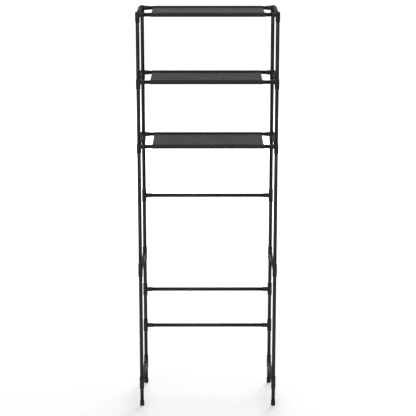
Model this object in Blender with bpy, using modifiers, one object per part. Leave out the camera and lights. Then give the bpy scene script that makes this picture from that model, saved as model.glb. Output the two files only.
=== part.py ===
"""Over-toilet storage rack: a tall frame of push-together tubes that carries three fabric shelves.

Metres, +Z up. The origin is on the floor, midway between the four legs. Left is -X and the front is -Y.
"""

import math

import bmesh
import bpy
from mathutils import Matrix, Vector

# Legs, axis to axis. Each rear leg stands a little nearer the middle than the front leg before it.
front_leg_spacing = 0.550
rear_leg_inset = 0.007
leg_depth = 0.260

# Joints along a leg, from the floor up: each is its rise above the one before it.
level_rises = {
    "base_brace": 0.1000,
    "low_bar": 0.1645,
    "mid_bar": 0.1635,
    "upper_brace": 0.1630,
    "high_bar": 0.2530,
    "lower_shelf": 0.2640,
    "middle_shelf": 0.2600,
    "top_shelf": 0.2660,
}
shelves = ("lower_shelf", "middle_shelf", "top_shelf")
bars = ("low_bar", "mid_bar", "high_bar")
braces = ("base_brace", "upper_brace")
split_shelf = "lower_shelf"  # the two sections of each leg meet in this shelf's corners

# Tubes
tube_radius = 0.0075
tube_wall = 0.0010
fit_gap = 0.0003  # between a tube and whatever it is pushed into or through

# Corner fittings of a shelf
sleeve_wall = 0.0015
sleeve_above = 0.0108  # above the rail's axis
sleeve_below = 0.0280
corner_reach = 0.0250  # leg axis to the end of an arm
arm_wall = 0.0012
stop_thickness = 0.0020  # rib between two leg sections, and the roof of a top corner
chamfer = 0.0008

# Tees on the legs
tee_length = 0.0530
tee_reach = 0.0310

# Foot caps
foot_height = 0.0225
foot_wall = 0.0011
foot_flare = 0.0006
foot_flare_top = 0.0070
foot_base = 0.0035
foot_rim = 0.0004  # chamfer of the upper edge

# Fabric shelves
bare_rail = 0.0250  # rail that shows between a front corner's arm and the fabric's edge
fabric_thickness = 0.0010
fabric_shift = {"lower_shelf": 0.0020, "middle_shelf": -0.0045, "top_shelf": 0.0020}  # to the right
web_thickness = 0.0016  # the flat stretch between the rails, with its hems and seams

round_sides = 16
smooth_angle = math.radians(35)
past = 0.002  # how far a cutter runs beyond the face that it opens in

bore_radius = tube_radius + fit_gap
sleeve_radius = bore_radius + sleeve_wall
arm_radius = bore_radius + arm_wall
seat_distance = sleeve_radius + fit_gap  # leg axis to the end of a tube in an arm
fabric_width = front_leg_spacing - 2 * (corner_reach + bare_rail)

levels = {}
for level_name, rise in level_rises.items():
    levels[level_name] = rise + max(levels.values(), default=0.0)

leg_x = {"front": front_leg_spacing / 2, "rear": front_leg_spacing / 2 - rear_leg_inset}
leg_y = {"front": -leg_depth / 2, "rear": leg_depth / 2}
side_sign = {"left": -1, "right": 1}


def clear_scene():
    for obj in list(bpy.data.objects):
        bpy.data.objects.remove(obj, do_unlink=True)


def new_collection(name):
    collection = bpy.data.collections.new(name)
    bpy.context.scene.collection.children.link(collection)
    return collection


clear_scene()
rack = new_collection("over_toilet_storage_rack")
cutters = new_collection("cutters")
cutters.hide_render = True
origin = bpy.data.objects.new("rack_origin", None)
rack.objects.link(origin)

finishes = {  # base colour, roughness, metallic
    "coated_tube": ((0.045, 0.045, 0.048), 0.42, 0.55),
    "moulded_plastic": ((0.060, 0.060, 0.062), 0.55, 0.0),
    "woven_fabric": ((0.075, 0.075, 0.078), 0.88, 0.0),
}


def finish_for(name, kind):
    colour, roughness, metallic = finishes[kind]
    material = bpy.data.materials.new(f"{name}_{kind}")
    material.use_nodes = True
    shader = material.node_tree.nodes["Principled BSDF"]
    shader.inputs["Base Color"].default_value = (*colour, 1.0)
    shader.inputs["Roughness"].default_value = roughness
    shader.inputs["Metallic"].default_value = metallic
    return material


def add_part(name, data, kind, location=(0, 0, 0), turn=None, mirrored=False):
    """Places a part under the rack's origin. A mirrored part is flipped from right to left."""
    obj = bpy.data.objects.new(name, data)
    obj.parent = origin
    obj.location = location
    if turn is not None:
        obj.rotation_mode = "QUATERNION"
        obj.rotation_quaternion = turn
    if mirrored:
        obj.scale.x = -1
    rack.objects.link(obj)
    if not data.materials:
        data.materials.append(None)
    slot = obj.material_slots[0]
    slot.link = "OBJECT"
    slot.material = finish_for(name, kind)
    return obj


def smooth(mesh):
    mesh.shade_smooth()
    mesh.set_sharp_from_angle(angle=smooth_angle)
    return mesh


def cylinder_mesh(name, radius, start, end, bevel=0.0, capped=True):
    """A cylinder along local Z from start to end, with both rims chamfered by bevel."""
    bm = bmesh.new()
    middle = Matrix.Translation((0, 0, (start + end) / 2))
    bmesh.ops.create_cone(
        bm,
        cap_ends=capped,
        segments=round_sides,
        radius1=radius,
        radius2=radius,
        depth=end - start,
        matrix=middle,
    )
    if bevel:
        rims = {edge for face in bm.faces if len(face.verts) == round_sides for edge in face.edges}
        bmesh.ops.bevel(bm, geom=list(rims), offset=bevel, segments=1, profile=0.5, affect="EDGES")
    mesh = bpy.data.meshes.new(name)
    bm.to_mesh(mesh)
    bm.free()
    return mesh


def tube(name, start, end):
    """An open-ended tube between two points."""
    start, end = Vector(start), Vector(end)
    run = end - start
    mesh = smooth(cylinder_mesh(name, tube_radius, 0, run.length, capped=False))
    obj = add_part(name, mesh, "coated_tube", start, run.to_track_quat("Z", "Y"))
    wall = obj.modifiers.new("wall", "SOLIDIFY")
    wall.thickness = tube_wall
    wall.offset = -1


def fitting_mesh(name, sleeve, arms, bores):
    """The sleeve joined to its arms, then cut by the bores. Each shape is (mesh, matrix)."""
    body = bpy.data.objects.new(name, sleeve)
    rack.objects.link(body)
    helpers = []
    for operation, shapes in (("UNION", arms), ("DIFFERENCE", bores)):
        for mesh, matrix in shapes:
            helper = bpy.data.objects.new(f"{name}_{operation.lower()}", mesh)
            helper.matrix_world = matrix
            helper.hide_render = True
            helper.display_type = "WIRE"
            cutters.objects.link(helper)
            cut = body.modifiers.new(helper.name, "BOOLEAN")
            cut.operation = operation
            cut.solver = "EXACT"
            cut.object = helper
            helpers.append(helper)
    bpy.context.view_layer.update()
    graph = bpy.context.evaluated_depsgraph_get()
    mesh = bpy.data.meshes.new_from_object(body.evaluated_get(graph))
    mesh.name = name
    for obj in [body, *helpers]:
        bpy.data.objects.remove(obj, do_unlink=True)
    return smooth(mesh)


def pointing(direction, offset=(0, 0, 0)):
    """The matrix that lays local Z along a direction, from a point."""
    return Matrix.Translation(offset) @ Vector(direction).to_track_quat("Z", "Y").to_matrix().to_4x4()


def corner_mesh(name, row, leg_bores):
    """A right-hand corner: the rail's arm points to -X, the side tube's arm along the depth."""
    inward = 1 if row == "front" else -1
    outboard = 0.0 if row == "front" else rear_leg_inset
    placings = (pointing((-1, 0, 0)), pointing((0, inward, 0), (outboard, 0, 0)))
    arm = cylinder_mesh("arm", arm_radius, 0, corner_reach)
    socket = cylinder_mesh("socket", bore_radius, sleeve_radius, corner_reach + past)
    return fitting_mesh(
        name,
        cylinder_mesh("sleeve", sleeve_radius, -sleeve_below, sleeve_above, chamfer),
        [(arm, placing) for placing in placings],
        [(cylinder_mesh("bore", bore_radius, low, high), Matrix()) for low, high in leg_bores]
        + [(socket, placing) for placing in placings],
    )


def tee_mesh():
    """A sleeve round the leg with one arm, which points to +X."""
    half = tee_length / 2
    sideways = pointing((1, 0, 0))
    return fitting_mesh(
        "tee",
        cylinder_mesh("sleeve", sleeve_radius, -half, half, chamfer),
        [(cylinder_mesh("arm", arm_radius, 0, tee_reach), sideways)],
        [
            (cylinder_mesh("bore", bore_radius, -half - past, half + past), Matrix()),
            (cylinder_mesh("socket", bore_radius, sleeve_radius, tee_reach + past), sideways),
        ],
    )


def profile_line(name, profile):
    """A turned shape's line, which starts and ends on the axis and runs down its outer side."""
    bm = bmesh.new()
    points = [bm.verts.new((radius, 0, height)) for radius, height in profile]
    for first, second in zip(points, points[1:]):
        bm.edges.new((first, second))
    line = bpy.data.meshes.new(name)
    bm.to_mesh(line)
    bm.free()
    return line


def foot_cap(name, location):
    outer = bore_radius + foot_wall
    profile = [
        (0, foot_base),
        (bore_radius, foot_base),
        (bore_radius, foot_height),
        (outer - foot_rim, foot_height),
        (outer, foot_height - foot_rim),
        (outer, foot_flare_top),
        (outer + foot_flare, foot_base),
        (outer + foot_flare, chamfer),
        (outer + foot_flare - chamfer, 0),
        (0, 0),
    ]
    obj = add_part(name, profile_line(name, profile), "moulded_plastic", location)
    turn = obj.modifiers.new("turn", "SCREW")
    turn.steps = turn.render_steps = round_sides
    turn.use_merge_vertices = True
    turn.merge_threshold = 0.0001
    turn.use_smooth_shade = True


def circle_points(centre, radius, start, sweep, count):
    """Points on an arc round a rail, as (depth, height), from the start angle on."""
    angles = [start + sweep * step / count for step in range(count + 1)]
    return [(centre + radius * math.cos(a), radius * math.sin(a)) for a in angles]


def add_outline(curve, points):
    line = curve.splines.new("POLY")
    line.points.add(len(points) - 1)
    for point, (depth, height) in zip(line.points, points):
        point.co = (depth, height, 0, 1)
    line.use_cyclic_u = True


def fabric_shelf(name, shift, height):
    """A panel between the rails, with a sleeve round each rail, cut to one width."""
    inner = bore_radius
    outer = inner + fabric_thickness
    join = math.asin(web_thickness / 2 / outer)
    wrap = 2 * (math.pi - join)
    curve = bpy.data.curves.new(name, "CURVE")
    curve.dimensions = "2D"
    curve.fill_mode = "BOTH"
    curve.extrude = fabric_width / 2
    front, rear = leg_y["front"], leg_y["rear"]
    add_outline(
        curve,
        circle_points(front, outer, join, wrap, round_sides)
        + circle_points(rear, outer, math.pi + join, wrap, round_sides),
    )
    step = 2 * math.pi / round_sides
    for centre in (front, rear):
        add_outline(curve, circle_points(centre, inner, 0, 2 * math.pi - step, round_sides - 1))
    across = Matrix(((0, 0, 1), (1, 0, 0), (0, 1, 0))).to_quaternion()
    add_part(name, curve, "woven_fabric", (shift, 0, height), across)


def build_legs():
    stop_z = levels[split_shelf] + (sleeve_above - sleeve_below) / 2
    clear = stop_thickness / 2 + fit_gap
    top = levels["top_shelf"] + sleeve_above - stop_thickness - fit_gap
    for row in leg_x:
        for side, sign in side_sign.items():
            x, y = sign * leg_x[row], leg_y[row]
            tube(f"leg_{row}_{side}_lower", (x, y, foot_base + fit_gap), (x, y, stop_z - clear))
            tube(f"leg_{row}_{side}_upper", (x, y, stop_z + clear), (x, y, top))
            foot_cap(f"foot_cap_{row}_{side}", (x, y, 0))


def leg_bores_of(shelf):
    """Where a leg runs in a corner's sleeve, as heights from the rail's axis."""
    if shelf == "top_shelf":
        return [(-sleeve_below - past, sleeve_above - stop_thickness)]
    if shelf == split_shelf:
        middle = (sleeve_above - sleeve_below) / 2
        half = stop_thickness / 2
        return [(-sleeve_below - past, middle - half), (middle + half, sleeve_above + past)]
    return [(-sleeve_below - past, sleeve_above + past)]


def build_shelf(shelf):
    z = levels[shelf]
    for row in leg_x:
        half = leg_x[row] - seat_distance
        tube(f"{shelf}_rail_{row}", (-half, leg_y[row], z), (half, leg_y[row], z))
        mesh = corner_mesh(f"{shelf}_corner_{row}", row, leg_bores_of(shelf))
        for side, sign in side_sign.items():
            place = (sign * leg_x[row], leg_y[row], z)
            add_part(f"{shelf}_corner_{row}_{side}", mesh, "moulded_plastic", place, None, sign < 0)
    for side, sign in side_sign.items():
        x = sign * leg_x["front"]
        near, far = leg_y["front"] + seat_distance, leg_y["rear"] - seat_distance
        tube(f"{shelf}_side_tube_{side}", (x, near, z), (x, far, z))
    fabric_shelf(f"{shelf}_fabric", fabric_shift[shelf], z)


def turned_about_z(direction):
    return Matrix.Rotation(math.atan2(direction.y, direction.x), 3, "Z").to_quaternion()


def build_bar(bar, tee):
    z = levels[bar]
    half = leg_x["rear"] - seat_distance
    tube(f"{bar}_tube", (-half, leg_y["rear"], z), (half, leg_y["rear"], z))
    for side, sign in side_sign.items():
        place = (sign * leg_x["rear"], leg_y["rear"], z)
        add_part(f"{bar}_tee_{side}", tee, "moulded_plastic", place, turned_about_z(Vector((-sign, 0))))


def build_brace(brace, tee):
    """A tube from the front leg to the rear leg on each side, held by a tee on each leg."""
    for side, sign in side_sign.items():
        front = Vector((sign * leg_x["front"], leg_y["front"], levels[brace]))
        rear = Vector((sign * leg_x["rear"], leg_y["rear"], levels[brace]))
        along = (rear - front).normalized()
        tube(f"{brace}_tube_{side}", front + along * seat_distance, rear - along * seat_distance)
        for row, place, direction in (("front", front, along), ("rear", rear, -along)):
            turn = turned_about_z(direction)
            add_part(f"{brace}_tee_{row}_{side}", tee, "moulded_plastic", place, turn)


build_legs()
for shelf in shelves:
    build_shelf(shelf)
tee = tee_mesh()
for bar in bars:
    build_bar(bar, tee)
for brace in braces:
    build_brace(brace, tee)
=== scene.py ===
import math
import random

import bmesh
import bpy
from mathutils import Matrix, Vector


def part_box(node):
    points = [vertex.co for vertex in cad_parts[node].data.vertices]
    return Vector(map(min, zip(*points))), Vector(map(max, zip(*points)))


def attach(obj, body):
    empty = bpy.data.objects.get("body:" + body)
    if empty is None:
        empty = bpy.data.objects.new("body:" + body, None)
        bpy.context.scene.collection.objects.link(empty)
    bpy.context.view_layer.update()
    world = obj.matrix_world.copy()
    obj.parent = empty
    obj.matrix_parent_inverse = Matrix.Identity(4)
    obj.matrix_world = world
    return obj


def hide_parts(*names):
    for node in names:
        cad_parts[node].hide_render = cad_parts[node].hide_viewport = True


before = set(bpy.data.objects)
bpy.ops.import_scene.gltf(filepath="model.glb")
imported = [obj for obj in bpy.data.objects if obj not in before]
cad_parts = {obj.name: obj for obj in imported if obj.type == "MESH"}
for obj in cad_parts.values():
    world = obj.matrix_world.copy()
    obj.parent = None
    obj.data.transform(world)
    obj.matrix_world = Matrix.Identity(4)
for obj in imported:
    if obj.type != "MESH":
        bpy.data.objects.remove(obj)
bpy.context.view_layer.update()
rackBody = "root"
print("frame loaded:", len(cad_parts), "nodes")

rows = ("front", "rear")
sides = {"left": -1, "right": 1}
shelves = ("lower_shelf", "middle_shelf", "top_shelf")
bars = ("low_bar", "mid_bar", "high_bar")
braces = ("base_brace", "upper_brace")


def centreOf(node):
    low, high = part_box(node)
    return (low + high) / 2


def sizeOf(node):
    low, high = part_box(node)
    return high - low


legAxis = {(row, side): centreOf(f"leg_{row}_{side}_lower") for row in rows for side in sides}
tubeRadius = sizeOf("top_shelf_rail_front").z / 2
sleeveRadius = sizeOf("high_bar_tee_left").y / 2


def newGroup(name, inputs, outputs):  # inputs and outputs: {socket name: default}
    group = bpy.data.node_groups.new(name, "ShaderNodeTree")
    for inOut, sockets in (("INPUT", inputs), ("OUTPUT", outputs)):
        for socket, default in sockets.items():
            kind = "NodeSocketVector" if default is None else "NodeSocketFloat"
            made = group.interface.new_socket(socket, in_out=inOut, socket_type=kind)
            if default is not None and inOut == "INPUT":
                made.default_value = default
    return group, group.nodes.new("NodeGroupInput"), group.nodes.new("NodeGroupOutput")


def mathNode(tree, operation, *values):
    node = tree.nodes.new("ShaderNodeMath")
    node.operation = operation
    for socket, value in zip(node.inputs, values):
        if isinstance(value, (int, float)):
            socket.default_value = value
        else:
            tree.links.new(value, socket)
    return node.outputs[0]


def noiseNode(tree, vector, scale, detail, roughness=0.5, stretch=None):
    if stretch:
        mapping = tree.nodes.new("ShaderNodeMapping")
        mapping.inputs["Scale"].default_value = stretch
        tree.links.new(vector, mapping.inputs["Vector"])
        vector = mapping.outputs[0]
    noise = tree.nodes.new("ShaderNodeTexNoise")
    tree.links.new(vector, noise.inputs["Vector"])
    if isinstance(scale, (int, float)):
        noise.inputs["Scale"].default_value = scale
    else:
        tree.links.new(scale, noise.inputs["Scale"])
    noise.inputs["Detail"].default_value = detail
    noise.inputs["Roughness"].default_value = roughness
    return noise.outputs["Fac"]


def remap(tree, value, low, high, toLow, toHigh):
    node = tree.nodes.new("ShaderNodeMapRange")
    tree.links.new(value, node.inputs["Value"])
    for socket, number in zip(node.inputs[1:5], (low, high, toLow, toHigh)):
        socket.default_value = number
    return node.outputs[0]


grainShape = {
    "coarseScale": 0.32,  # scale of the coarser pebbles, as a share of the fine ones' scale
    "coarseHeight": 0.7,
}


def buildGrainGroup():  # fine pebbled skin with broad, faint shifts of tone
    inputs = {"Vector": None, "Fine": 1500.0, "Broad": 18.0}
    group, start, end = newGroup("mouldedGrain", inputs, {"Height": 0.0, "Tone": 0.0})
    fine = noiseNode(group, start.outputs["Vector"], start.outputs["Fine"], detail=2.0, roughness=0.55)
    coarseScale = mathNode(group, "MULTIPLY", start.outputs["Fine"], grainShape["coarseScale"])
    coarse = noiseNode(group, start.outputs["Vector"], coarseScale, detail=1.0)
    height = mathNode(group, "MULTIPLY_ADD", coarse, grainShape["coarseHeight"], fine)
    broad = noiseNode(group, start.outputs["Vector"], start.outputs["Broad"], detail=3.0, roughness=0.6)
    group.links.new(height, end.inputs["Height"])
    group.links.new(broad, end.inputs["Tone"])
    return group


scuffShape = {
    "patchRange": (0.60, 0.74),  # where in the noise a patch begins, and where it is full
    "scratchRange": (0.50, 0.66),
    "scratchScale": 900.0,
    "scratchStretch": (1.0, 1.0, 0.12),
}


def buildScuffGroup():  # sparse rubbed patches, broken up into scratches along Z
    inputs = {"Vector": None, "Scale": 60.0, "Amount": 0.5}
    group, start, end = newGroup("handlingScuffs", inputs, {"Mask": 0.0})
    place, stretch = start.outputs["Vector"], scuffShape["scratchStretch"]
    patches = noiseNode(group, place, start.outputs["Scale"], detail=2.0)
    scratches = noiseNode(
        group, place, scuffShape["scratchScale"], detail=2.0, roughness=0.6, stretch=stretch
    )
    spots = remap(group, patches, *scuffShape["patchRange"], 0.0, 1.0)
    lines = remap(group, scratches, *scuffShape["scratchRange"], 0.0, 1.0)
    both = mathNode(group, "MULTIPLY", spots, lines)
    group.links.new(mathNode(group, "MULTIPLY", both, start.outputs["Amount"]), end.inputs["Mask"])
    return group


edgeWearShape = {"scale": 260.0, "range": (0.35, 0.65), "least": 0.15}


def buildEdgeWearGroup():  # breaks up the rubbed rims of a moulding
    inputs = {"Vector": None, "Edge": 0.0, "Amount": 0.5}
    group, start, end = newGroup("edgeWear", inputs, {"Mask": 0.0})
    noise = noiseNode(group, start.outputs["Vector"], edgeWearShape["scale"], detail=3.0, roughness=0.6)
    broken = remap(group, noise, *edgeWearShape["range"], edgeWearShape["least"], 1.0)
    patches = mathNode(group, "MULTIPLY", start.outputs["Edge"], broken)
    group.links.new(mathNode(group, "MULTIPLY", patches, start.outputs["Amount"]), end.inputs["Mask"])
    return group


def threadWave(group, position):  # rises over each thread and falls between two
    wave = mathNode(group, "SINE", mathNode(group, "MULTIPLY", position, math.pi))
    return mathNode(group, "ABSOLUTE", wave)


# a slub is fine across its thread and long along it
slubStretch = {"warp": (1400.0, 45.0, 1.0), "weft": (45.0, 1400.0, 1.0)}
slubNoise = {"detail": 3.0, "roughness": 0.6}


def buildWeaveGroup():  # plain weave on a map in metres: one cell is one crossing of the threads
    outputs = {"Height": 0.0, "Over": 0.0, "Slub": 0.0}
    group, start, end = newGroup("plainWeave", {"Vector": None, "Pitch": 0.0009}, outputs)
    split = group.nodes.new("ShaderNodeSeparateXYZ")
    group.links.new(start.outputs["Vector"], split.inputs[0])
    across = mathNode(group, "DIVIDE", split.outputs["X"], start.outputs["Pitch"])
    along = mathNode(group, "DIVIDE", split.outputs["Y"], start.outputs["Pitch"])
    waveAcross = threadWave(group, across)
    waveAlong = threadWave(group, along)
    steps = mathNode(group, "ADD", mathNode(group, "FLOOR", across), mathNode(group, "FLOOR", along))
    over = mathNode(group, "PINGPONG", steps, 1.0)  # 0 and 1 by turns: the warp or the weft lies on top
    under = mathNode(group, "SUBTRACT", 1.0, over)
    warpHeight = mathNode(group, "MULTIPLY", waveAcross, over)
    height = mathNode(group, "MULTIPLY_ADD", waveAlong, under, warpHeight)
    warpSlub = noiseNode(group, start.outputs["Vector"], 1.0, stretch=slubStretch["warp"], **slubNoise)
    weftSlub = noiseNode(group, start.outputs["Vector"], 1.0, stretch=slubStretch["weft"], **slubNoise)
    slub = mathNode(group, "MULTIPLY_ADD", weftSlub, under, mathNode(group, "MULTIPLY", warpSlub, over))
    group.links.new(height, end.inputs["Height"])
    group.links.new(over, end.inputs["Over"])
    group.links.new(slub, end.inputs["Slub"])
    return group


grainGroup = buildGrainGroup()
scuffGroup = buildScuffGroup()
edgeWearGroup = buildEdgeWearGroup()
weaveGroup = buildWeaveGroup()


def newMaterial(name, look):
    material = bpy.data.materials.new(name)
    material.use_nodes = True
    tree = material.node_tree
    shader = tree.nodes["Principled BSDF"]
    for socket in ("Metallic", "Specular IOR Level", "Sheen Weight", "Sheen Roughness"):
        if socket in look:
            shader.inputs[socket].default_value = look[socket]
    coordinates = tree.nodes.new("ShaderNodeTexCoord")
    return material, tree, shader, coordinates


def useGroup(tree, group, vector, **values):
    node = tree.nodes.new("ShaderNodeGroup")
    node.node_tree = group
    tree.links.new(vector, node.inputs["Vector"])
    for socket, value in values.items():
        node.inputs[socket].default_value = value
    return node


def blendColour(tree, factor, first, second):
    node = tree.nodes.new("ShaderNodeMix")
    node.data_type = "RGBA"
    tree.links.new(factor, node.inputs["Factor"])
    for socket, value in ((node.inputs[6], first), (node.inputs[7], second)):
        if isinstance(value, tuple):
            socket.default_value = (*value, 1.0)
        else:
            tree.links.new(value, socket)
    return node.outputs[2]


def bumpNode(tree, height, strength, distance, under=None):
    bump = tree.nodes.new("ShaderNodeBump")
    bump.inputs["Strength"].default_value = strength
    bump.inputs["Distance"].default_value = distance
    tree.links.new(height, bump.inputs["Height"])
    if under:
        tree.links.new(under, bump.inputs["Normal"])
    return bump.outputs[0]


def readAttribute(tree, name):
    node = tree.nodes.new("ShaderNodeAttribute")
    node.attribute_name = name
    return node.outputs["Fac"]


toneRange = (0.3, 0.7)  # the part of the broad noise that tone and roughness follow
dullness = 0.05  # how far the roughness strays from its value


def hardMaterial(name, look):  # powder coat, moulded plastic and thread
    material, tree, shader, coordinates = newMaterial(name, look)
    place = coordinates.outputs["Object"]
    grain = useGroup(tree, grainGroup, place, Fine=look["fine"], Broad=look["broad"])
    scuff = useGroup(tree, scuffGroup, place, Scale=look["scuffScale"], Amount=look["scuffAmount"])
    tone = remap(tree, grain.outputs["Tone"], *toneRange, 0.0, 1.0)
    toned = blendColour(tree, tone, look["dark"], look["light"])
    worn = scuff.outputs["Mask"]
    normal = bumpNode(tree, grain.outputs["Height"], look["bump"], look["depth"])
    if "edgeWear" in look:
        wear = useGroup(tree, edgeWearGroup, place, Amount=look["edgeWear"])
        tree.links.new(readAttribute(tree, "edgeRub"), wear.inputs["Edge"])
        worn = mathNode(tree, "MAXIMUM", worn, wear.outputs["Mask"])
        off = mathNode(tree, "ABSOLUTE", readAttribute(tree, "offParting"))
        flash = remap(tree, off, *look["flashRange"], 1.0, 0.0)
        normal = bumpNode(tree, flash, 1.0, look["flashHeight"], normal)
    tree.links.new(blendColour(tree, worn, toned, look["rubbed"]), shader.inputs["Base Color"])
    smooth, rough = look["roughness"] - dullness, look["roughness"] + dullness
    dull = remap(tree, grain.outputs["Tone"], *toneRange, smooth, rough)
    polished = mathNode(tree, "MULTIPLY", worn, look["scuffShine"])
    tree.links.new(mathNode(tree, "SUBTRACT", dull, polished), shader.inputs["Roughness"])
    tree.links.new(normal, shader.inputs["Normal"])
    return material


coatLook = {
    "dark": (0.0110, 0.0110, 0.0114),
    "light": (0.0150, 0.0150, 0.0154),
    "rubbed": (0.034, 0.034, 0.035),
    "roughness": 0.42,
    "fine": 1300.0,
    "broad": 14.0,
    "scuffScale": 42.0,
    "scuffAmount": 0.35,
    "scuffShine": 0.10,
    "bump": 0.16,
    "depth": 0.00010,
    "Metallic": 0.0,
    "Specular IOR Level": 0.45,
}
plasticLook = {
    "dark": (0.0165, 0.0165, 0.0170),
    "light": (0.0225, 0.0225, 0.0230),
    "rubbed": (0.060, 0.060, 0.061),
    "roughness": 0.56,
    "fine": 2100.0,
    "broad": 30.0,
    "scuffScale": 75.0,
    "scuffAmount": 0.5,
    "scuffShine": 0.12,
    "bump": 0.30,
    "depth": 0.00010,
    "edgeWear": 0.85,
    "flashRange": (0.00009, 0.00030),  # off the parting plane, where its raised line falls away and ends
    "flashHeight": 0.00030,  # as the light shows it, not in the mesh
    "Metallic": 0.0,
    "Specular IOR Level": 0.34,
}
footLook = {
    "dark": (0.0140, 0.0140, 0.0142),
    "light": (0.0215, 0.0215, 0.0218),
    "rubbed": (0.060, 0.058, 0.056),
    "roughness": 0.60,
    "fine": 1700.0,
    "broad": 40.0,
    "scuffScale": 95.0,
    "scuffAmount": 0.8,
    "scuffShine": 0.05,
    "bump": 0.40,
    "depth": 0.00012,
    "edgeWear": 0.9,
    "flashRange": (0.00009, 0.00030),  # off the parting plane, where its raised line falls away and ends
    "flashHeight": 0.00030,  # as the light shows it, not in the mesh
    "Metallic": 0.0,
    "Specular IOR Level": 0.30,
}
clothLook = {
    "warp": (0.0365, 0.0365, 0.0378),
    "weft": (0.0475, 0.0475, 0.0490),
    "pale": (0.0670, 0.0670, 0.0690),
    # painted shade: the dark colour laid into the low valleys of the weave, between the threads
    "paintedWeaveShade": (0.0080, 0.0080, 0.0085),
    "pitch": 0.00095,
    "slubRange": (0.45, 0.80),
    "slubAmount": 0.8,
    "paintedWeaveShadeHeight": 0.45,  # height below which painted shade darkens the weave's valleys between the threads
    "paintedWeaveShadeAmount": 0.75,
    "fadeRange": (0.25, 0.75),
    "fadeAmount": 0.22,
    "roughRange": (0.3, 0.8),
    "roughness": (0.92, 0.74),  # of plain threads and of slubs
    "fine": 900.0,
    "broad": 9.0,
    "fuzz": (0.18, 0.00015),  # strength and depth
    "weave": (0.55, 0.00022),  # the same
    "Sheen Weight": 0.02,
    "Sheen Roughness": 0.5,
    "Specular IOR Level": 0.10,
}
threadLook = {
    "dark": (0.034, 0.034, 0.035),
    "light": (0.066, 0.066, 0.068),
    "rubbed": (0.080, 0.080, 0.082),
    "roughness": 0.55,
    "fine": 6000.0,
    "broad": 300.0,
    "scuffScale": 400.0,
    "scuffAmount": 0.2,
    "scuffShine": 0.0,
    "bump": 0.3,
    "depth": 0.00005,
    "Specular IOR Level": 0.35,
}


def clothMaterial(name, look):  # woven polyester, read from the map of the flat cut
    material, tree, shader, coordinates = newMaterial(name, look)
    cut = tree.nodes.new("ShaderNodeUVMap")
    cut.uv_map = "flatCut"
    weave = useGroup(tree, weaveGroup, cut.outputs["UV"], Pitch=look["pitch"])
    place = coordinates.outputs["Object"]
    grain = useGroup(tree, grainGroup, place, Fine=look["fine"], Broad=look["broad"])
    threads = blendColour(tree, weave.outputs["Over"], look["weft"], look["warp"])
    slub = remap(tree, weave.outputs["Slub"], *look["slubRange"], 0.0, look["slubAmount"])
    slubbed = blendColour(tree, slub, threads, look["pale"])
    # painted shade: where the weave dips between threads, its colour is darkened towards the shade colour
    weaveShadeMask = remap(tree, weave.outputs["Height"], 0.0, look["paintedWeaveShadeHeight"], look["paintedWeaveShadeAmount"], 0.0)
    shaded = blendColour(tree, weaveShadeMask, slubbed, look["paintedWeaveShade"])
    fade = remap(tree, grain.outputs["Tone"], *look["fadeRange"], 0.0, look["fadeAmount"])
    faded = blendColour(tree, fade, shaded, look["pale"])
    tree.links.new(faded, shader.inputs["Base Color"])
    rough = remap(tree, weave.outputs["Slub"], *look["roughRange"], *look["roughness"])
    tree.links.new(rough, shader.inputs["Roughness"])
    fuzz = bumpNode(tree, grain.outputs["Height"], *look["fuzz"])
    weaveBump = bumpNode(tree, weave.outputs["Height"], *look["weave"], fuzz)
    tree.links.new(weaveBump, shader.inputs["Normal"])
    return material


coatMaterial = hardMaterial("powderCoatedSteel", coatLook)
plasticMaterial = hardMaterial("mattFittingPlastic", plasticLook)
footMaterial = hardMaterial("footPlastic", footLook)
threadMaterial = hardMaterial("sewingThread", threadLook)
fabricMaterial = clothMaterial("wovenShelfCloth", clothLook)
print("materials ready")


def keepMesh(bm, name):
    mesh = bpy.data.meshes.new(name)
    bm.to_mesh(mesh)
    bm.free()
    return mesh


sharpAngle = 38  # degrees between faces, above which an edge shades sharp


def smoothMesh(mesh):
    mesh.shade_smooth()
    mesh.set_sharp_from_angle(angle=math.radians(sharpAngle))
    return mesh


def cornerArc(radius, height, size, fromAngle, toAngle, steps=4):  # a profile's round corner, in degrees
    turn = toAngle - fromAngle
    angles = [math.radians(fromAngle + turn * step / steps) for step in range(steps + 1)]
    return [(radius + size * math.cos(a), height + size * math.sin(a)) for a in angles]


def clamp(value):
    return min(max(value, 0), 1)


rubAngles = (12, 26)  # degrees between faces where an outward edge begins to rub, and where it rubs fully
weldDistance = 1e-6


def markMoulding(mesh, parting):  # stores where edges rub, and each point's distance from the parting plane
    bm = bmesh.new()
    bm.from_mesh(mesh)
    rubbed = bm.verts.layers.float.new("edgeRub")
    offPlane = bm.verts.layers.float.new("offParting")
    for vert in bm.verts:
        bend = max(math.degrees(edge.calc_face_angle_signed(0)) for edge in vert.link_edges)
        vert[rubbed] = clamp((bend - rubAngles[0]) / (rubAngles[1] - rubAngles[0]))
        vert[offPlane] = vert.co.dot(parting)
    bm.to_mesh(mesh)
    bm.free()


def spunBody(profile, steps):  # a closed solid turned about Z, from a profile that starts and ends on it
    bm = bmesh.new()
    points = [bm.verts.new((radius, 0, height)) for radius, height in profile]
    edges = [bm.edges.new(pair) for pair in zip(points, points[1:])]
    bmesh.ops.spin(
        bm,
        geom=points + edges,
        cent=(0, 0, 0),
        axis=(0, 0, 1),
        dvec=(0, 0, 0),
        angle=2 * math.pi,
        steps=steps,
        use_merge=True,
    )
    bmesh.ops.remove_doubles(bm, verts=bm.verts, dist=weldDistance)
    bmesh.ops.recalc_face_normals(bm, faces=bm.faces)
    return bm


def addPiece(name, mesh, material, replaced=()):
    piece = bpy.data.objects.new(name, mesh)
    bpy.context.scene.collection.objects.link(piece)
    mesh.materials.clear()
    mesh.materials.append(material)
    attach(piece, rackBody)
    if replaced:
        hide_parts(*replaced)
    return piece


tubeLook = {"segments": 56, "wall": 0.0010}


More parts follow.
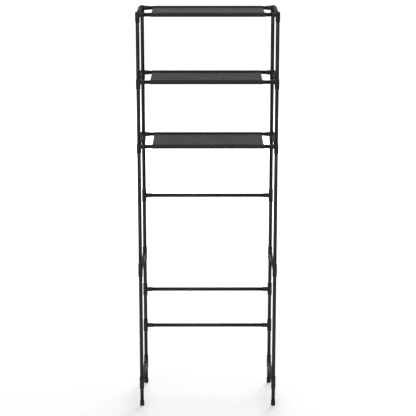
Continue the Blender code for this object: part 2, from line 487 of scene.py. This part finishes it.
def makeTube(node, start, end):
    run = end - start
    bm = bmesh.new()
    bmesh.ops.create_cone(
        bm,
        cap_ends=False,
        segments=tubeLook["segments"],
        radius1=tubeRadius,
        radius2=tubeRadius,
        depth=run.length,
        matrix=Matrix.Translation((0, 0, run.length / 2)),
    )
    mesh = keepMesh(bm, f"{node}_tube")
    mesh.transform(Matrix.Translation(start) @ run.to_track_quat("Z", "Y").to_matrix().to_4x4())
    piece = addPiece(f"{node}_steel", smoothMesh(mesh), coatMaterial, [node])
    wall = piece.modifiers.new("wall", "SOLIDIFY")
    wall.thickness = tubeLook["wall"]
    wall.offset = -1
    return piece


def straightTube(node, axis):  # a tube along X, Y or Z fills its node's box from end to end
    low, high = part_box(node)
    start, end = centreOf(node), centreOf(node)
    start[axis], end[axis] = low[axis], high[axis]
    return makeTube(node, start, end)


def braceTube(brace, side):  # runs from leg to leg, so it slants with the narrower rear frame
    node = f"{brace}_tube_{side}"
    low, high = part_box(node)
    front, rear = legAxis["front", side].copy(), legAxis["rear", side].copy()
    front.z = rear.z = centreOf(node).z
    along = (rear - front).normalized()
    tilt = tubeRadius * abs(along.x)
    start = front + along * (low.y + tilt - front.y)
    end = rear - along * (rear.y - high.y + tilt)
    return makeTube(node, start, end)


for row in rows:
    for side in sides:
        straightTube(f"leg_{row}_{side}_lower", 2)
        straightTube(f"leg_{row}_{side}_upper", 2)
for shelf in shelves:
    [straightTube(f"{shelf}_rail_{row}", 0) for row in rows]
    for side in sides:
        straightTube(f"{shelf}_side_tube_{side}", 1)
for bar in bars:
    straightTube(f"{bar}_tube", 0)
for brace in braces:
    for side in sides:
        braceTube(brace, side)
print("tubes made")


fittingLook = {
    "segments": 48,
    "armRadius": 0.0090,
    "bore": tubeRadius + 0.0003,  # with the clearance of a push fit
    "lip": 0.0009,  # rounding of a sleeve's outer rim
    "armLip": 0.0005,
    "mouth": 0.00045,  # lead-in round a bore
    "crown": 0.0032,  # rounding of a closed top
    "crownRise": 0.0002,  # how far a closed top domes above its rim
    "crownSteps": 7,
    "filletUp": 0.0011,
    "filletDown": 0.0026,
    "filletEnds": 0.0020,  # over which a fillet dies out at the sleeve's outline
    "rootStep": 0.0006,  # spacing of the rings that the fillet bends
    "rootSteps": 10,  # facets of an arm's round inner end
    "roof": 0.0020,  # thickness of a closed top
    "past": 0.0020,  # how far a cutter runs beyond an open mouth
}


def sleeveBody(below, above, crowned):  # stands round the leg, from below the arms' axis to above it
    lip, crown, radius = fittingLook["lip"], fittingLook["crown"], sleeveRadius
    if crowned:
        profile = [(0, above + fittingLook["crownRise"])]
        profile += cornerArc(radius - crown, above - crown, crown, 90, 0, fittingLook["crownSteps"])
    else:
        profile = [(0, above)] + cornerArc(radius - lip, above - lip, lip, 90, 0)
    profile += cornerArc(radius - lip, lip - below, lip, 0, -90)
    return spunBody(profile + [(0, -below)], fittingLook["segments"])


def armBody(reach, sideways):  # along local Z from the leg's axis; local Y runs up the sleeve
    radius, lip = fittingLook["armRadius"], fittingLook["armLip"]
    profile = [(0, -radius)] + cornerArc(0, 0, radius, -90, 0, fittingLook["rootSteps"])[1:]
    rings = int((sleeveRadius + fittingLook["filletDown"]) / fittingLook["rootStep"])
    profile += [(radius, ring * fittingLook["rootStep"]) for ring in range(1, rings + 1)]
    profile += cornerArc(radius - lip, reach - lip, lip, 0, 90) + [(0, reach)]
    bm = spunBody(profile, fittingLook["segments"])
    for vert in bm.verts:  # flares the root into the sleeve's side, above and below
        across = abs(vert.co.x + sideways)
        if across >= sleeveRadius:
            continue
        fillet = fittingLook["filletUp"] if vert.co.y > 0 else fittingLook["filletDown"]
        face = math.sqrt(sleeveRadius**2 - across**2)
        share = clamp((face + fillet - vert.co.z) / fillet)
        fade = min((sleeveRadius - across) / fittingLook["filletEnds"], 1)
        vert.co.y += fillet * (1 - math.sqrt(1 - share**2)) * fade * vert.co.y / radius
    return bm


def boreBody(low, high, openLow, openHigh):  # a cutter, widened at each open mouth
    bore, mouth, past = fittingLook["bore"], fittingLook["mouth"], fittingLook["past"]
    wide = bore + mouth
    if openLow:
        profile = [(0, low - past), (wide, low - past), (wide, low), (bore, low + mouth)]
    else:
        profile = [(0, low), (bore, low)]
    if openHigh:
        profile += [(bore, high - mouth), (wide, high), (wide, high + past), (0, high + past)]
    else:
        profile += [(bore, high), (0, high)]
    return spunBody(profile, fittingLook["segments"])


def armPlace(direction, sideways):  # lays an arm along a direction; sideways moves it off the leg's axis
    along, up = Vector(direction), Vector((0, 0, 1))
    lateral = up.cross(along)
    turn = Matrix((lateral, up, along)).transposed().to_4x4()
    return Matrix.Translation(lateral * sideways) @ turn


def fittingMesh(name, sleeve, arms, bores, parting):  # arms: [(reach, direction, sideways)]
    body = bpy.data.objects.new(name, keepMesh(sleeve, name))
    bpy.context.scene.collection.objects.link(body)
    joins, cuts = [], [(cutter, Matrix()) for cutter in bores]
    for reach, direction, sideways in arms:
        place = armPlace(direction, sideways)
        joins.append((armBody(reach, sideways), place))
        cuts.append((boreBody(sleeveRadius, reach, False, True), place))
    helpers = []
    for operation, shapes in (("UNION", joins), ("DIFFERENCE", cuts)):
        for bm, place in shapes:
            helper = bpy.data.objects.new(f"{name}_helper", keepMesh(bm, f"{name}_helper"))
            helper.data.transform(place)
            bpy.context.scene.collection.objects.link(helper)
            change = body.modifiers.new(operation, "BOOLEAN")
            change.operation = operation
            change.solver = "EXACT"
            change.object = helper
            helpers.append(helper)
    bpy.context.view_layer.update()
    mesh = bpy.data.meshes.new_from_object(body.evaluated_get(bpy.context.evaluated_depsgraph_get()))
    for spare in [body, *helpers]:
        bpy.data.objects.remove(spare)
    markMoulding(mesh, parting)
    return smoothMesh(mesh)


def placeFitting(node, mesh, place):
    copied = mesh.copy()
    copied.transform(place)
    if place.determinant() < 0:
        copied.flip_normals()
    copied.name = f"{node}_moulding"
    return addPiece(f"{node}_moulded", copied, plasticMaterial, [node])


flipSide = Matrix.Diagonal((-1, 1, 1, 1))
for shelf in shelves:
    for row in rows:
        inward = 1 if row == "front" else -1
        low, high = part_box(f"{shelf}_corner_{row}_right")
        axis = legAxis[row, "right"].copy()
        axis.z = centreOf(f"{shelf}_rail_{row}").z
        below, above = axis.z - low.z, high.z - axis.z
        crowned = shelf == "top_shelf"
        outboard = centreOf(f"{shelf}_side_tube_right").x - axis.x
        reach = axis.x - low.x
        arms = [(reach, (-1, 0, 0), 0.0), (reach, (0, inward, 0), -inward * outboard)]
        roof = fittingLook["roof"] if crowned else 0
        bores = [boreBody(-below, above - roof, True, not crowned)]
        sleeve = sleeveBody(below, above, crowned)
        mesh = fittingMesh(f"{shelf}_{row}", sleeve, arms, bores, Vector((0, 0, 1)))
        for side, sign in sides.items():
            place = Matrix.Translation((sign * axis.x, axis.y, axis.z))
            placeFitting(f"{shelf}_corner_{row}_{side}", mesh, place if sign > 0 else place @ flipSide)

teeSize = sizeOf("high_bar_tee_left")
teeHalf = teeSize.z / 2
teeReach = teeSize.x - sleeveRadius
teeSleeve = sleeveBody(teeHalf, teeHalf, False)
teeBore = boreBody(-teeHalf, teeHalf, True, True)
teeMesh = fittingMesh("tee", teeSleeve, [(teeReach, (1, 0, 0), 0.0)], [teeBore], Vector((0, 1, 0)))


def placeTee(node, row, side, direction):
    axis = legAxis[row, side]
    turn = Matrix.Rotation(math.atan2(direction.y, direction.x), 4, "Z")
    placeFitting(node, teeMesh, Matrix.Translation((axis.x, axis.y, centreOf(node).z)) @ turn)


for side, sign in sides.items():
    for bar in bars:
        placeTee(f"{bar}_tee_{side}", "rear", side, Vector((-sign, 0, 0)))
    for brace in braces:
        along = legAxis["rear", side] - legAxis["front", side]
        placeTee(f"{brace}_tee_front_{side}", "front", side, along)
        placeTee(f"{brace}_tee_rear_{side}", "rear", side, -along)
print("fittings made")


footShape = {
    "segments": 56,
    "wall": 0.0011,
    "base": 0.0035,  # thickness under the leg's end
    "rim": 0.0005,  # rounding of the upper edge
    "rimFrom": 80,  # degrees, where the outer rounding starts
    "rib": (0.42, 0.38, 0.34),  # top, middle and bottom of the low rib round it, as shares of its height
    "shoulder": 0.20,  # share of the height where the flare is nearly at its full width
    "shoulderIn": 0.00024,  # how much narrower than the full width it is there
    "flared": 0.10,  # share of the height where it is at its full width
    "sole": 0.0010,  # rounding of the bottom edge
    "groove": 0.00035,
    "ringGap": 0.0018,  # between the shallow rings under the sole
    "lastRing": 0.0027,  # least outer radius of a ring
}


def makeFoot(row, side):
    node = f"foot_cap_{row}_{side}"
    height, wide = sizeOf(node).z, sizeOf(node).x / 2
    bore, rim, base = fittingLook["bore"], footShape["rim"], footShape["base"]
    sole, groove = footShape["sole"], footShape["groove"]
    upper = bore + footShape["wall"]
    ribTop, ribMiddle, ribBottom = (height * share for share in footShape["rib"])
    profile = [(0, base), (bore, base), (bore, height - rim), (bore + rim, height)]
    profile += cornerArc(upper - rim, height - rim, rim, footShape["rimFrom"], 0)
    profile += [(upper, ribTop), (upper + groove / 2, ribMiddle), (upper, ribBottom)]
    profile += [(wide - footShape["shoulderIn"], height * footShape["shoulder"])]
    profile += [(wide, height * footShape["flared"])] + cornerArc(wide - sole, sole, sole, 0, -90)
    ring = wide - 2 * sole
    while ring > footShape["lastRing"]:
        inner = ring - 3 * groove
        profile += [(ring, 0), (ring - groove, groove), (inner + groove, groove), (inner, 0)]
        ring = inner - footShape["ringGap"]
    bm = spunBody(profile + [(0, 0)], footShape["segments"])
    mesh = smoothMesh(keepMesh(bm, f"{node}_cap"))
    markMoulding(mesh, Vector((1, 0, 0)))
    axis = legAxis[row, side]
    mesh.transform(Matrix.Translation((axis.x, axis.y, 0)))
    addPiece(f"{node}_moulded", mesh, footMaterial, [node])


for row in rows:
    for side in sides:
        makeFoot(row, side)
print("feet made")


sheetShape = {
    "thickness": 0.00045,
    "wrap": 0.00855,  # rail's axis to the middle of the cloth that goes round it
    "leave": 35,  # degrees above and below the rail's axis where the cloth leaves the rail
    "layer": 0.00060,  # from one layer's middle to the next
    "allowance": 0.0130,  # cloth past the seam, under the panel
    "hem": 0.0100,  # turned under along the two short edges
    "hemStack": 0.00130,  # extra room under the panel where hems lie on each other
    "hemStackEdge": (0.022, 0.014),  # from the edge to where that room begins, and to where it is full
    "bend": 0.0040,  # length over which the under layer drops to that room
    "sag": {"lower_shelf": 0.0038, "middle_shelf": 0.0032, "top_shelf": 0.0026},
    "sagHeld": 0.3,  # share of the sag that the hems take away at the side edges
    "wrinkle": 0.00058,
    "wrinkleCount": 5,
    "wrinkleSize": (0.09, 0.26),
    "wrinkleTurn": 0.5,  # radians either way from straight across
    "wrinkleSlant": 1.2,  # added to the turn of about half of them
    "pucker": 0.00034,
    "puckerSize": 0.021,
    "puckerReach": 0.016,
    "puckerDrift": (3, 31),  # how far, and how fast along the seam, the puckers stray from even
    "columns": 50,  # in half the width
    "foldColumns": 4,
    "hemColumns": 3,
    "panelStep": 0.0036,  # between rows of the grid along the panel
    "wrapStep": 0.0013,  # and round the rail
    "fineFrom": 0.0067,  # before the seam, where the rows of the grid begin to lie closer
    "pathStep": 0.0004,
    "pathRounding": 6,  # times that the path's bends are smoothed
    "seed": 11,
}
stitchShape = {
    "length": 0.0026,
    "pitch": 0.0034,
    "thick": 0.00034,
    "proud": 0.25,  # share of the thread's thickness between the cloth's face and its middle
    "endGap": 0.005,  # from the side edges to a seam's first and last stitch
    "fromSeam": (0.0022, 0.0092),  # of each seam's two lines
    "fromEdge": 0.0075,  # of a side hem's line
    "sideGap": 0.016,  # from the seams to that line's ends
}


def straightRun(start, end):
    steps = max(2, int(math.dist(start, end) / sheetShape["pathStep"]))
    return [tuple(a + (b - a) * step / steps for a, b in zip(start, end)) for step in range(steps)]


def roundBends(points, times):
    for _ in range(times):
        threes = zip(points, points[1:], points[2:])
        inner = [tuple((a + 2 * b + c) / 4 for a, b, c in zip(*three)) for three in threes]
        points = [points[0], *inner, points[-1]]
    return points


def halfPath(halfDepth):  # the cloth's middle line: panel's centre, round one rail, back under the panel
    wrap, layer = sheetShape["wrap"], sheetShape["layer"]
    leave = math.radians(sheetShape["leave"])
    seam = halfDepth - wrap / math.cos(leave)
    leaving = (halfDepth - wrap * math.cos(leave), wrap * math.sin(leave))
    returning = (leaving[0], -leaving[1])
    sweep = 2 * (math.pi - leave)
    steps = int(sweep * wrap / sheetShape["pathStep"])
    angles = [math.pi - leave - sweep * step / steps for step in range(steps)]
    points = straightRun((0, 0), (seam, 0)) + straightRun((seam, 0), leaving)
    points += [(halfDepth + wrap * math.cos(a), wrap * math.sin(a)) for a in angles]
    points += straightRun(returning, (seam, -layer))
    points += straightRun((seam, -layer), (seam - sheetShape["allowance"], -layer))
    points = roundBends(points, sheetShape["pathRounding"])
    lengths = [0.0]
    for first, second in zip(points, points[1:]):
        lengths.append(lengths[-1] + math.dist(first, second))
    return points, lengths, seam


def pathPoint(path, distance):  # the place at a distance along the half path, and the way to its inside
    points, lengths, _ = path
    low, high = 0, len(lengths) - 1
    while high - low > 1:
        middle = (low + high) // 2
        low, high = (middle, high) if lengths[middle] <= distance else (low, middle)
    length = lengths[high] - lengths[low]
    share = clamp((distance - lengths[low]) / length)
    (y0, z0), (y1, z1) = points[low], points[high]
    return (y0 + (y1 - y0) * share, z0 + (z1 - z0) * share), ((z1 - z0) / length, (y0 - y1) / length)


def rowDistances(path):  # coarse along the panel, fine round the rail
    _, lengths, seam = path
    panel = seam - sheetShape["fineFrom"]
    coarseCount = int(panel / sheetShape["panelStep"])
    rest = lengths[-1] - panel
    fineCount = int(rest / sheetShape["wrapStep"])
    half = [panel * step / coarseCount for step in range(coarseCount)]
    half += [panel + rest * step / fineCount for step in range(fineCount + 1)]
    return [-value for value in reversed(half[1:])] + half


def columnPlaces(width):  # each column's place across, its depth under the sheet, its place on the cut
    radius = sheetShape["layer"] / 2
    edge = width / 2 - radius
    steps = [edge * step / sheetShape["columns"] for step in range(sheetShape["columns"] + 1)]
    half = [(x, 0.0, x) for x in steps]
    for step in range(1, sheetShape["foldColumns"] + 1):
        angle = math.pi * step / sheetShape["foldColumns"]
        under = radius * (1 - math.cos(angle))
        half.append((edge + radius * math.sin(angle), under, edge + radius * angle))
    for step in range(1, sheetShape["hemColumns"] + 1):
        run = sheetShape["hem"] * step / sheetShape["hemColumns"]
        half.append((edge - run, 2 * radius, edge + radius * math.pi + run))
    return [(-x, under, -cut) for x, under, cut in reversed(half[1:])] + half


def drawWaves(rng):
    waves = []
    for _ in range(sheetShape["wrinkleCount"]):
        size = rng.uniform(*sheetShape["wrinkleSize"])
        turn = rng.uniform(-sheetShape["wrinkleTurn"], sheetShape["wrinkleTurn"])
        turn += rng.choice((0, sheetShape["wrinkleSlant"]))
        waves.append((size, turn, rng.uniform(0, 2 * math.pi)))
    return waves


def clothDrop(panel, x, y):  # how far the panel lies off flat: sag, wrinkles, and puckers at the seams
    inward = panel["seam"] - abs(y)
    if inward <= 0:
        return 0.0
    inside = 1 - (y / panel["seam"]) ** 2
    side = clamp(abs(2 * x / panel["width"]))
    drop = -panel["sag"] * inside * (1 - sheetShape["sagHeld"] * side**4)
    for size, turn, phase in panel["waves"]:
        across = x * math.cos(turn) + y * math.sin(turn)
        drop += sheetShape["wrinkle"] * inside * math.sin(2 * math.pi * across / size + phase)
    far, fast = sheetShape["puckerDrift"]
    uneven = far * math.sin(fast * x) + (1 if y > 0 else 0)  # the two seams differ
    gather = math.sin(2 * math.pi * x / sheetShape["puckerSize"] + uneven)
    near = math.exp(-inward / sheetShape["puckerReach"]) * min(inward / sheetShape["bend"], 1)
    return drop + sheetShape["pucker"] * near * gather


def stackShare(panel, x):  # 0 across the panel, 1 over the side hems
    begin, full = sheetShape["hemStackEdge"]
    return clamp((abs(x) - panel["width"] / 2 + begin) / (begin - full))


def clothGrid(panel):  # a flat grid, mapped to the flat cut and then laid along the path
    path = panel["path"]
    columns, distances = columnPlaces(panel["width"]), rowDistances(path)
    lastColumn, lastRow = len(columns) - 1, len(distances) - 1
    bm = bmesh.new()
    flatCut = bm.loops.layers.uv.new("flatCut")
    bmesh.ops.create_grid(bm, x_segments=lastColumn, y_segments=lastRow, size=1)
    cells = {}
    for vert in bm.verts:
        cells[vert] = (round((vert.co.x + 1) / 2 * lastColumn), round((vert.co.y + 1) / 2 * lastRow))
    for face in bm.faces:
        for loop in face.loops:
            column, row = cells[loop.vert]
            loop[flatCut].uv = (columns[column][2], distances[row])
    underStart = path[1][-1] - sheetShape["allowance"] - sheetShape["bend"]
    placed = [pathPoint(path, abs(distance)) for distance in distances]
    for vert, (column, row) in cells.items():
        x, under, _ = columns[column]
        (y, z), (underY, underZ) = placed[row]
        y, z = y + underY * under, z + underZ * under
        folded = clamp((abs(distances[row]) - underStart) / sheetShape["bend"])
        z -= sheetShape["hemStack"] * stackShare(panel, x) * folded
        y = math.copysign(y, distances[row])
        vert.co = (panel["middle"] + x, y, panel["height"] + z + clothDrop(panel, x, y))
    bmesh.ops.recalc_face_normals(bm, faces=bm.faces)
    return bm, (2 * columns[-1][2], 2 * distances[-1])


def evenly(span):
    count = int(span / stitchShape["pitch"])
    return [(step - count / 2) * stitchShape["pitch"] for step in range(count + 1)]


def stitchRow(places, alongY):
    long, thin = stitchShape["length"] / 2, stitchShape["thick"] / 2
    size = Matrix.Diagonal((thin, long, thin, 1) if alongY else (long, thin, thin, 1))
    bm = bmesh.new()
    for place in places:
        bmesh.ops.create_icosphere(bm, subdivisions=1, radius=1, matrix=Matrix.Translation(place) @ size)
    return keepMesh(bm, "stitchRow")


def makeStitches(shelf, panel):  # two lines along each seam and one along each side hem, on both faces
    skin = sheetShape["thickness"] / 2 + stitchShape["thick"] * stitchShape["proud"]
    lines = []
    for inset in stitchShape["fromSeam"]:
        for y in (panel["seam"] - inset, inset - panel["seam"]):
            lines.append(([(x, y) for x in evenly(panel["width"] - 2 * stitchShape["endGap"])], False))
    hemLine = panel["width"] / 2 - stitchShape["fromEdge"]
    for x in (hemLine, -hemLine):
        lines.append(([(x, y) for y in evenly(2 * (panel["seam"] - stitchShape["sideGap"]))], True))
    bm = bmesh.new()
    for line, alongY in lines:
        above, below = [], []
        for x, y in line:
            z = panel["height"] + clothDrop(panel, x, y)
            stack = 0 if alongY else sheetShape["hemStack"] * stackShare(panel, x)
            above.append((panel["middle"] + x, y, z + skin))
            below.append((panel["middle"] + x, y, z - sheetShape["layer"] - stack - skin))
        for places in (above, below):
            row = stitchRow(places, alongY)
            bm.from_mesh(row)
            bpy.data.meshes.remove(row)
    mesh = keepMesh(bm, f"{shelf}_stitching")
    mesh.shade_smooth()
    return addPiece(f"{shelf}_stitching", mesh, threadMaterial)


def makeShelf(shelf):
    path = halfPath(legAxis["rear", "right"].y)
    panel = {
        "path": path,
        "seam": path[2],
        "middle": centreOf(f"{shelf}_fabric").x,
        "width": sizeOf(f"{shelf}_fabric").x,
        "height": centreOf(f"{shelf}_rail_front").z,
        "sag": sheetShape["sag"][shelf],
        "waves": drawWaves(random.Random(sheetShape["seed"] + shelves.index(shelf))),
    }
    bm, flat = clothGrid(panel)
    mesh = keepMesh(bm, f"{shelf}_cloth")
    mesh.shade_smooth()
    cloth = addPiece(f"{shelf}_cloth", mesh, fabricMaterial, [f"{shelf}_fabric"])
    body = cloth.modifiers.new("body", "SOLIDIFY")
    body.thickness = sheetShape["thickness"]
    body.offset = 0
    threads = makeStitches(shelf, panel)
    print(f"{shelf} cloth: flat cut {flat[0]:.3f} x {flat[1]:.3f} m")


for shelf in shelves:
    makeShelf(shelf)
print("fabric shelves made")


studioLook = {
    "floorHalf": 60.0,
    "floorTone": (0.42, 0.42, 0.425),
    "floorPaler": 1.03,  # times the tone, where the floor is palest
    "floorShine": {"Specular IOR Level": 0.1},
    "floorRoughness": 0.9,
    "floorGrain": {"Fine": 60.0, "Broad": 0.6},
    "floorLift": (0.33, 1.00),  # brightens the floor for the camera, near the rack and far from it
    "floorFade": (1.6, 5.0),  # where the brighter surround begins and ends
    "air": 0.30,  # light that comes from all round
    "overhead": {"place": (0.4, -0.6, 6.5), "aim": (0.0, 0.0, 0.9), "size": 4.0, "power": 105},
    "behind": {"place": (0.9, 5.2, 5.0), "aim": (0.0, 0.0, 0.9), "size": 4.5, "power": 900},
    "front": {"place": (-3.2, -5.5, 3.6), "aim": (0.0, 0.0, 0.9), "size": 3.0, "power": 110},
}
cameraLook = {
    "place": (-0.0106, -5.5, 2.2142),
    "aim": (0.0018, 0.0, 0.8213),
    "lens": 118.35,
    "sight": 200,  # how far it sees
}


def makeFloor():
    bm = bmesh.new()
    bmesh.ops.create_grid(bm, x_segments=8, y_segments=8, size=studioLook["floorHalf"])
    floor = bpy.data.objects.new("studioFloor", keepMesh(bm, "studioFloor"))
    bpy.context.scene.collection.objects.link(floor)
    material, tree, shader, coordinates = newMaterial("paleFloor", studioLook["floorShine"])
    grain = useGroup(tree, grainGroup, coordinates.outputs["Object"], **studioLook["floorGrain"])
    tone = studioLook["floorTone"]
    paler = tuple(value * studioLook["floorPaler"] for value in tone)
    tree.links.new(blendColour(tree, grain.outputs["Tone"], tone, paler), shader.inputs["Base Color"])
    shader.inputs["Roughness"].default_value = studioLook["floorRoughness"]
    shader.inputs["Emission Strength"].default_value = 1.0
    light = tree.nodes.new("ShaderNodeLightPath")
    away = tree.nodes.new("ShaderNodeVectorMath")
    away.operation = "LENGTH"
    tree.links.new(coordinates.outputs["Object"], away.inputs[0])
    surround = remap(tree, away.outputs["Value"], *studioLook["floorFade"], *studioLook["floorLift"])
    lift = mathNode(tree, "MULTIPLY", light.outputs["Is Camera Ray"], surround)
    tree.links.new(lift, shader.inputs["Emission Color"])
    floor.data.materials.append(material)


def aimed(obj, place, aim):
    obj.location = place
    obj.rotation_euler = (Vector(aim) - Vector(place)).to_track_quat("-Z", "Y").to_euler()
    bpy.context.scene.collection.objects.link(obj)
    return obj


def makeLight(name, look):
    lamp = bpy.data.lights.new(name, "AREA")
    lamp.shape = "SQUARE"
    lamp.size = look["size"]
    lamp.energy = look["power"]
    aimed(bpy.data.objects.new(name, lamp), look["place"], look["aim"])


def makeAir():
    world = bpy.data.worlds.new("studioAir")
    world.use_nodes = True
    tree = world.node_tree
    background = tree.nodes["Background"]
    light = tree.nodes.new("ShaderNodeLightPath")
    strength = remap(tree, light.outputs["Is Camera Ray"], 0.0, 1.0, studioLook["air"], 1.0)
    background.inputs["Color"].default_value = (1, 1, 1, 1)
    tree.links.new(strength, background.inputs["Strength"])
    bpy.context.scene.world = world


makeFloor()
makeAir()
for name in ("overhead", "behind", "front"):
    makeLight(f"{name}Light", studioLook[name])
bpy.data.objects["behindLight"].visible_glossy = False  # no glare along the side tubes
camera = bpy.data.cameras.new("studioCamera")
camera.lens = cameraLook["lens"]
camera.clip_end = cameraLook["sight"]
studioCamera = bpy.data.objects.new("studioCamera", camera)
bpy.context.scene.camera = aimed(studioCamera, cameraLook["place"], cameraLook["aim"])
bpy.context.scene.view_settings.view_transform = "Standard"
print("studio ready")
